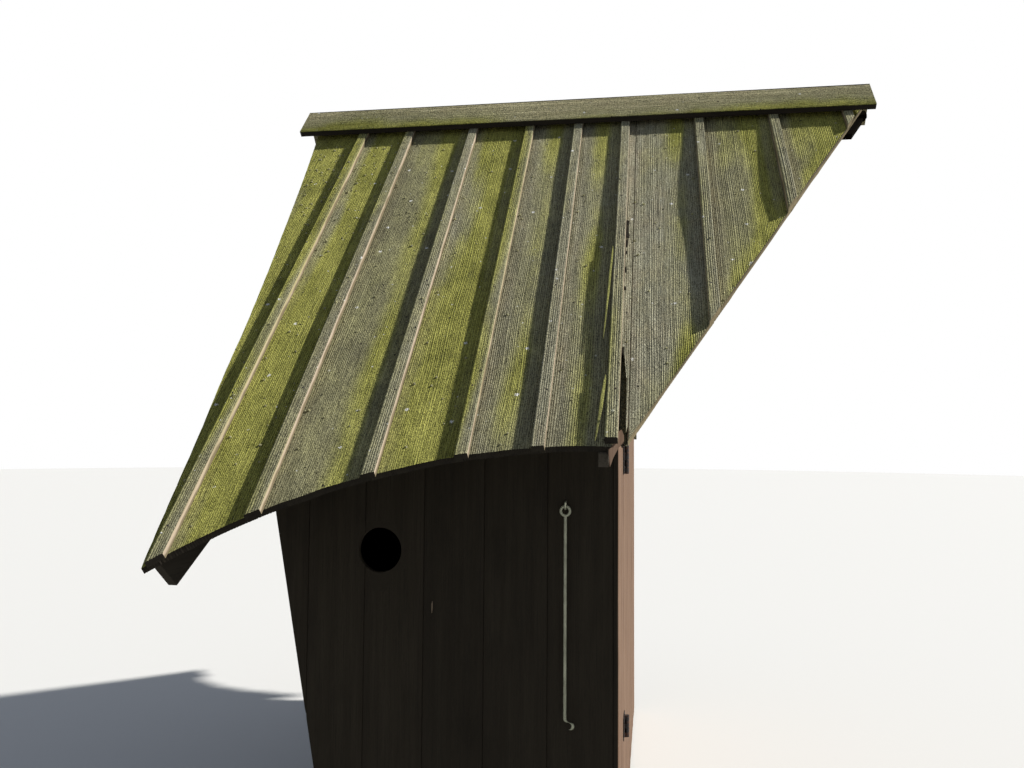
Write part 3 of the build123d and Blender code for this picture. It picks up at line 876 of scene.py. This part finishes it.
def bored(piece, centre, radius, depth):
    """Cuts a round hole along Y through a piece."""
    work = bmesh.new()
    bmesh.ops.create_cone(work, cap_ends=True, segments=72, radius1=radius, radius2=radius, depth=depth,
                          matrix=Matrix.Translation(centre) @ Matrix.Rotation(pi / 2, 4, "X"))
    cutter = linked("cutter", mesh_of(work, "cutter"))
    cut = piece.modifiers.new("hole", "BOOLEAN")
    cut.object = cutter
    cut.operation = "DIFFERENCE"
    cut.solver = "EXACT"
    bpy.context.view_layer.update()
    evaluated = piece.evaluated_get(bpy.context.evaluated_depsgraph_get())
    piece.data = bpy.data.meshes.new_from_object(evaluated)
    piece.modifiers.clear()
    bpy.data.objects.remove(cutter)


front = joined("front_wall_boards", long_wall(-1), [dark_wood], ["front_wall"])
bored(front, (hole_x, -half_depth, hole_height), hole_radius, depth=0.08)


def scratch():
    """A short pale scratch on the front wall."""
    across = np.linspace(-0.2895, -0.286, 4)
    foot, top = [0.753, 0.744, 0.745, 0.757], [0.768, 0.770, 0.775, 0.769]
    return plank(on_long_wall(-1), across, foot, top, 0.0012, -0.001, 3, 71, arris=0.0003, tone=0.0)


joined("wall_scratch", [scratch()], [plain_wood])
joined("back_wall_boards", long_wall(1), [dark_wood], ["back_wall"])


def leaning_wall():
    seams = np.linspace(-wall_inside, wall_inside, 12)
    for number, left, right in spans(seams):
        across = wall_columns(left, right)
        top = (underside(across) - 0.001) / cos(lean)
        yield plank(on_leaning_wall, across, wall_foot / cos(lean), top, 0.0, -gable_board, 24,
                    800 + 10 * number, arris=0.002, cup=wall_ripple)


joined("left_wall_boards", leaning_wall(), [dark_wood], ["left_wall"])


def painted_shade_under_roof(y, z):
    """Painted shade in a band right under the roof, full up to 0.13 m below it and gone at 0.2 m."""
    return 1 - eased(underside(y) - z, 0.13, 0.2)


def gable_boards(seams, foot, top, seed):
    """Upright boards of the right gable or its door, whose top may follow the roof."""
    for number, left, right in spans(seams):
        across = wall_columns(left, right)
        crests = 0.7 + 0.3 * wander(seed + number, across, 0.01)
        # Their moss attribute carries the painted shade under the roof, which the weathered look mixes in
        # as a near-black colour.
        yield plank(on_gable, across, foot, top(across), 0.0, -gable_board, 40, seed + 10 * number,
                    crests, painted_shade_under_roof, arris=0.0018, cup=0.0006)


def under_roof(y):
    return underside(y) - roof_play


def level(height):
    return lambda y: height


outer_board = 0.155
leaf_seams = list(np.linspace(-door_half_width, door_half_width, 8))
over_seams = [-door_opening, *leaf_seams[1:-1], door_opening]
outer_seams = [-half_depth, -half_depth + outer_board, -door_opening]
far_seams = [-y for y in outer_seams[::-1]]
gable_looks = [gable_wood, gable_wood, dark_wood]

# Pieces of the right gable: seams, foot, top, seed and looks of their boards

gable_pieces = {
    "front": (outer_seams, wall_foot, under_roof, 900, gable_looks),
    "back": (far_seams, wall_foot, under_roof, 930, gable_looks),
    "over_door": (over_seams, door_top + door_gap, under_roof, 960, [gable_wood]),
    "sill": (over_seams, wall_foot, level(floor_level), 1040, [gable_wood]),
}
for name, (seams, foot, top, seed, looks) in gable_pieces.items():
    joined("gable_boards_" + name, gable_boards(seams, foot, top, seed), looks,
           ["right_wall_" + name])
joined("door_leaf_boards", gable_boards(leaf_seams, door_foot, level(door_top), 1120), [gable_wood],
       ["door_boards"], "door")


def floor_planks():
    low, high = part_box("floor_boards")
    seams = np.linspace(low.y, high.y, 14)
    for number, left, right in spans(seams):
        across = wall_columns(left, right, extra=(), gap=0.001)
        yield plank(on_floor, across, low.x, high.x, 0.0, -floor_board, 8, 1300 + 10 * number,
                    arris=0.001)


joined("floor_planks", floor_planks(), [plain_wood], ["floor_boards"])


# Timbers of the frame and the hinges keep their CAD shape, with worn edges

def finish_node(name, material, worn=0.0015):
    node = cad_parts[name]
    node.data.materials.clear()
    node.data.materials.append(material)
    edge = node.modifiers.new("worn_edges", "BEVEL")
    edge.width = worn
    edge.segments = 2
    edge.limit_method = "ANGLE"
    edge.angle_limit = radians(35)


for side, name in both_sides:
    finish_node("wall_plate_" + name, frame_woods[0])
    finish_node("rafter_" + name, frame_woods[1])
    for post in ("corner_post_left_", "corner_post_right_", "door_post_"):
        finish_node(post + name, frame_woods[2])
    finish_node("eave_arm_" + name, beam_end_wood)
    finish_node("tip_bracket_" + name, bracket_wood)
finish_node("floor_bearers", frame_woods[0])
finish_node("door_head", frame_woods[1])
finish_node("ridge_beam", near_black_woods[0])
finish_node("verge_cleat", near_black_woods[1])
finish_node("door_ledges", gable_frame)
finish_node("door_brace", gable_frame)
for name in ("hinge_wall_leaves", "hinge_door_leaves", "hinge_pins"):
    finish_node(name, iron, 0.0003)


# Round wire for the cabin hook and its screw eye

def tube(name, paths, material, replaced=(), body="shed"):
    """Round wires along their paths: each is its points, its radius and whether it is a closed ring."""
    points = []
    faces = []
    sides = 20
    turn = np.linspace(0, 2 * pi, sides, endpoint=False)
    for path, radius, closed in paths:
        path = np.array(path, float)
        ahead = np.roll(path, -1, 0) - np.roll(path, 1, 0)
        if not closed:
            ahead[0] = path[1] - path[0]
            ahead[-1] = path[-1] - path[-2]
        ahead /= np.linalg.norm(ahead, axis=1)[:, None]
        flat = np.cross(path[1] - path[0], path[len(path) // 3] - path[0])
        normal = flat / np.linalg.norm(flat) if np.linalg.norm(flat) > 1e-12 else np.array([1.0, 0, 0])
        other = np.cross(ahead, normal)
        ring = normal * np.cos(turn)[None, :, None] + other[:, None, :] * np.sin(turn)[None, :, None]
        start = len(points)
        points += (path[:, None, :] + radius * ring).reshape(-1, 3).tolist()
        last = len(path) if closed else len(path) - 1
        for step in range(last):
            here = start + step * sides
            there = start + (step + 1) % len(path) * sides
            for k in range(sides):
                after = (k + 1) % sides
                faces.append([here + k, here + after, there + after, there + k])
        if not closed:
            faces += [list(range(end, end + sides)) for end in (start, start + last * sides)]
    mesh = bpy.data.meshes.new(name)
    mesh.from_pydata(points, [], faces)
    mesh.materials.append(material)
    rounded(mesh)
    placed(name, mesh, replaced, body)


def arc(centre, radius, start, end, steps, plane="xz"):
    """Points of an arc in the plane of the wall, xz, or square to it, yz."""
    angles = np.radians(np.linspace(start, end, steps))
    across, up = radius * np.cos(angles), radius * np.sin(angles)
    zero = np.zeros(steps)
    shape = np.stack([across, zero, up] if plane == "xz" else [zero, across, up], -1)
    return (np.array(centre) + shape).tolist()


def hook_wire():
    ring_z = hook_pivot - (hook_ring - hook_ring_wire - eye_wire - hook_play)
    low = hook_pivot - hook_length
    bend = 0.009
    turn_x = hook_x + bend + hook_kick
    rod = [[hook_x, eye_y, z] for z in np.linspace(ring_z - hook_ring, low + 3 * bend, 30)]
    rod += arc((hook_x + bend, eye_y, low + 3 * bend), bend, 180, 270, 9)[1:]
    rod += arc((turn_x, eye_y, low + bend), bend, 90, -90, 17)
    rod += [[hook_x - hook_tongue, eye_y, low]]
    ring = arc((hook_x, eye_y, ring_z), hook_ring, 90, 450, 41)[:-1]
    return [(rod, hook_rod, False), (ring, hook_ring_wire, True)]


def eye_wire_paths():
    centre = (hook_x, eye_y, hook_pivot + eye_ring)
    ring = arc(centre, eye_ring, 0, 360, 41, "yz")[:-1]
    stem = [[hook_x, y, centre[2]] for y in np.linspace(eye_y + eye_ring, -half_depth + side_board, 6)]
    return [(ring, eye_wire, True), (stem, eye_wire, False)]


tube("hook_wire", hook_wire(), zinc_wire, ["cabin_hook"], "cabin_hook")
tube("eye_wire", eye_wire_paths(), zinc_wire, ["screw_eye"])


# Nail and screw heads

small_head = (0.0025, 0.0008)
wall_head = (0.003, 0.0009)
broad_head = (0.0042, 0.0012)


def heads(name, spots, size, material, body="shed"):
    """Low domed heads of one radius and height. Each spot is a point on a surface and the way out."""
    radius, height = size
    work = bmesh.new()
    corners = 10
    for point, out in spots:
        out = np.array(out, float) / np.linalg.norm(out)
        side = np.cross(out, [0.3, 0.8, 0.52])
        side /= np.linalg.norm(side)
        other = np.cross(out, side)
        rings = []
        for share, lift in ((1.0, -0.2), (1.0, 0.45), (0.7, 0.85)):
            ring = []
            for angle in np.linspace(0, 2 * pi, corners, endpoint=False):
                rim = radius * share * (cos(angle) * side + sin(angle) * other)
                ring.append(work.verts.new(point + rim + height * lift * out))
            rings.append(ring)
        centre = work.verts.new(point + height * out)
        for k in range(corners):
            after = (k + 1) % corners
            for low, high in zip(rings[:-1], rings[1:]):
                work.faces.new([low[k], low[after], high[after], high[k]])
            work.faces.new([rings[-1][k], rings[-1][after], centre])
        work.faces.new(rings[0][::-1])
    bmesh.ops.recalc_face_normals(work, faces=work.faces)
    mesh = mesh_of(work, name)
    mesh.materials.append(material)
    mesh.shade_smooth()
    placed(name, mesh, (), body)


def batten_nails(side):
    first, spacing, from_end = 0.16, 0.43, 0.05
    sunk = 0.0008
    place = on_slope(side)
    out = (0, side * sin(pitch), cos(pitch))
    for number, left in enumerate(batten_lefts):
        x = left + batten_width / 2
        end = float(slope_end(x + batten_width / 2, side)) - from_end
        for step, t in enumerate(np.arange(first, end, spacing)):
            jitter = seeded(50 + 20 * number + step).uniform(-0.007, 0.007, 2)
            down = t + 3 * jitter[1]
            face = batten_height + warp(number, down, side)
            yield place(x + jitter[0], down, face - sunk), out


def proud_nail():
    """One nail of the short batten has worked loose and stands out of it."""
    x, t = 0.1795, 1.536
    face = batten_height + warp(split_number, t)
    foot, top = on_slope(-1)(x, t, face - 0.002), on_slope(-1)(x, t, face + 0.009)
    shank = [(np.linspace(foot, top, 4), 0.0014, False)]
    head = [(top, (0, -sin(pitch), cos(pitch)))]
    tube("proud_nail", shank, zinc_wire)
    heads("proud_nail_head", head, broad_head, zinc_wire)


def wall_nails(side):
    nail_rows = (0.06, 1.31)
    inset = 0.03
    clear = 0.012
    for number, left, right in spans(wall_seams):
        for x in (left + inset, right - inset):
            for z in nail_rows:
                if x > leaning_foot - tan(lean) * z + clear:
                    jitter = seeded(90 + number).uniform(-0.006, 0.006)
                    yield np.array([x, side * (half_depth - wall_ripple), z + jitter]), (0, side, 0)


def hinge_screws(side):
    """Two screws in each leaf of each hinge, on the wall at side -1 and on the door at side 1."""
    inset = 0.012
    for height, length in hinge_heights:
        for z in (height - 0.3 * length, height + 0.3 * length):
            y = hinge_y + side * (hinge_leaf_width - inset)
            yield np.array([door_face + hinge_plate, y, z]), (1, 0, 0)


for side, name in both_sides:
    heads("batten_nails_" + name, batten_nails(side), small_head, iron)
    heads("wall_nails_" + name, wall_nails(side), wall_head, iron)
proud_nail()
heads("hinge_screws_wall", hinge_screws(-1), broad_head, iron)
heads("hinge_screws_door", hinge_screws(1), broad_head, iron, "door")


# Floor, light and camera

def seen_directly(tree):
    """One where a surface is seen, mirrored or seen through glass, zero where it only lights others."""
    seen = add(tree, "LightPath").outputs
    return sums(tree, "MAXIMUM", seen["Is Camera Ray"], seen["Is Glossy Ray"], seen["Is Transmission Ray"])


def pale_floor():
    """A wide round floor, pale to the camera and greyer in the light that it throws back."""
    work = bmesh.new()
    bmesh.ops.create_circle(work, cap_ends=True, segments=96, radius=30)
    mesh = mesh_of(work, "studio_floor")
    material = bpy.data.materials.new("pale_floor")
    material.use_nodes = True
    tree = material.node_tree
    shader = tree.nodes["Principled BSDF"]
    shader.inputs["Roughness"].default_value = 0.9
    pale = mixed(tree, seen_directly(tree), (0.25, 0.25, 0.24), (0.80, 0.80, 0.78))
    tree.links.new(pale, shader.inputs["Base Color"])
    mesh.materials.append(material)
    floor = linked("studio_floor", mesh)


def studio_world():
    """White to the camera and in reflections, dimmer and a little blue as light."""
    world = bpy.data.worlds.new("studio")
    bpy.context.scene.world = world
    world.use_nodes = True
    tree = world.node_tree
    tree.nodes.clear()
    strength = shaped(tree, seen_directly(tree), 0, 1, 0.19, 1.0)
    tint = mixed(tree, seen_directly(tree), (0.80, 0.92, 1.15), (1, 1, 1))
    light = add(tree, "Background", {"Color": tint, "Strength": strength})
    output = add(tree, "OutputWorld")
    tree.links.new(light.outputs[0], output.inputs["Surface"])


def key_light(towards, strength, spread):
    """A broad, soft-edged lamp far away in a direction."""
    lamp = bpy.data.lights.new("key", "SUN")
    lamp.energy = strength
    lamp.angle = radians(spread)
    lamp.color = (1.0, 0.97, 0.92)
    key = linked("key", lamp)
    key.matrix_world = Vector(towards).to_track_quat("Z", "Y").to_matrix().to_4x4()


def photo_camera():
    """The camera of the photograph: just past the right gable, turned to the left and slightly up."""
    yaw, tilt, roll = radians(9.03), radians(3.26), radians(0.392)
    focal_pixels, photo_width = 890, 1024
    lens = bpy.data.cameras.new("camera")
    lens.sensor_width = 36
    lens.lens = lens.sensor_width * focal_pixels / photo_width
    camera = linked("camera", lens)
    turn = Matrix.Rotation(yaw, 4, "Z") @ Matrix.Rotation(pi / 2 + tilt, 4, "X")
    turn = turn @ Matrix.Rotation(roll, 4, "Z")
    camera.matrix_world = Matrix.Translation((0.271, -3.124, 1.200)) @ turn
    bpy.context.scene.camera = camera


pale_floor()
studio_world()
key_light(towards=(0.787, 0.142, 0.601), strength=4.93, spread=2.5)
photo_camera()
bpy.context.scene.view_settings.view_transform = "Standard"
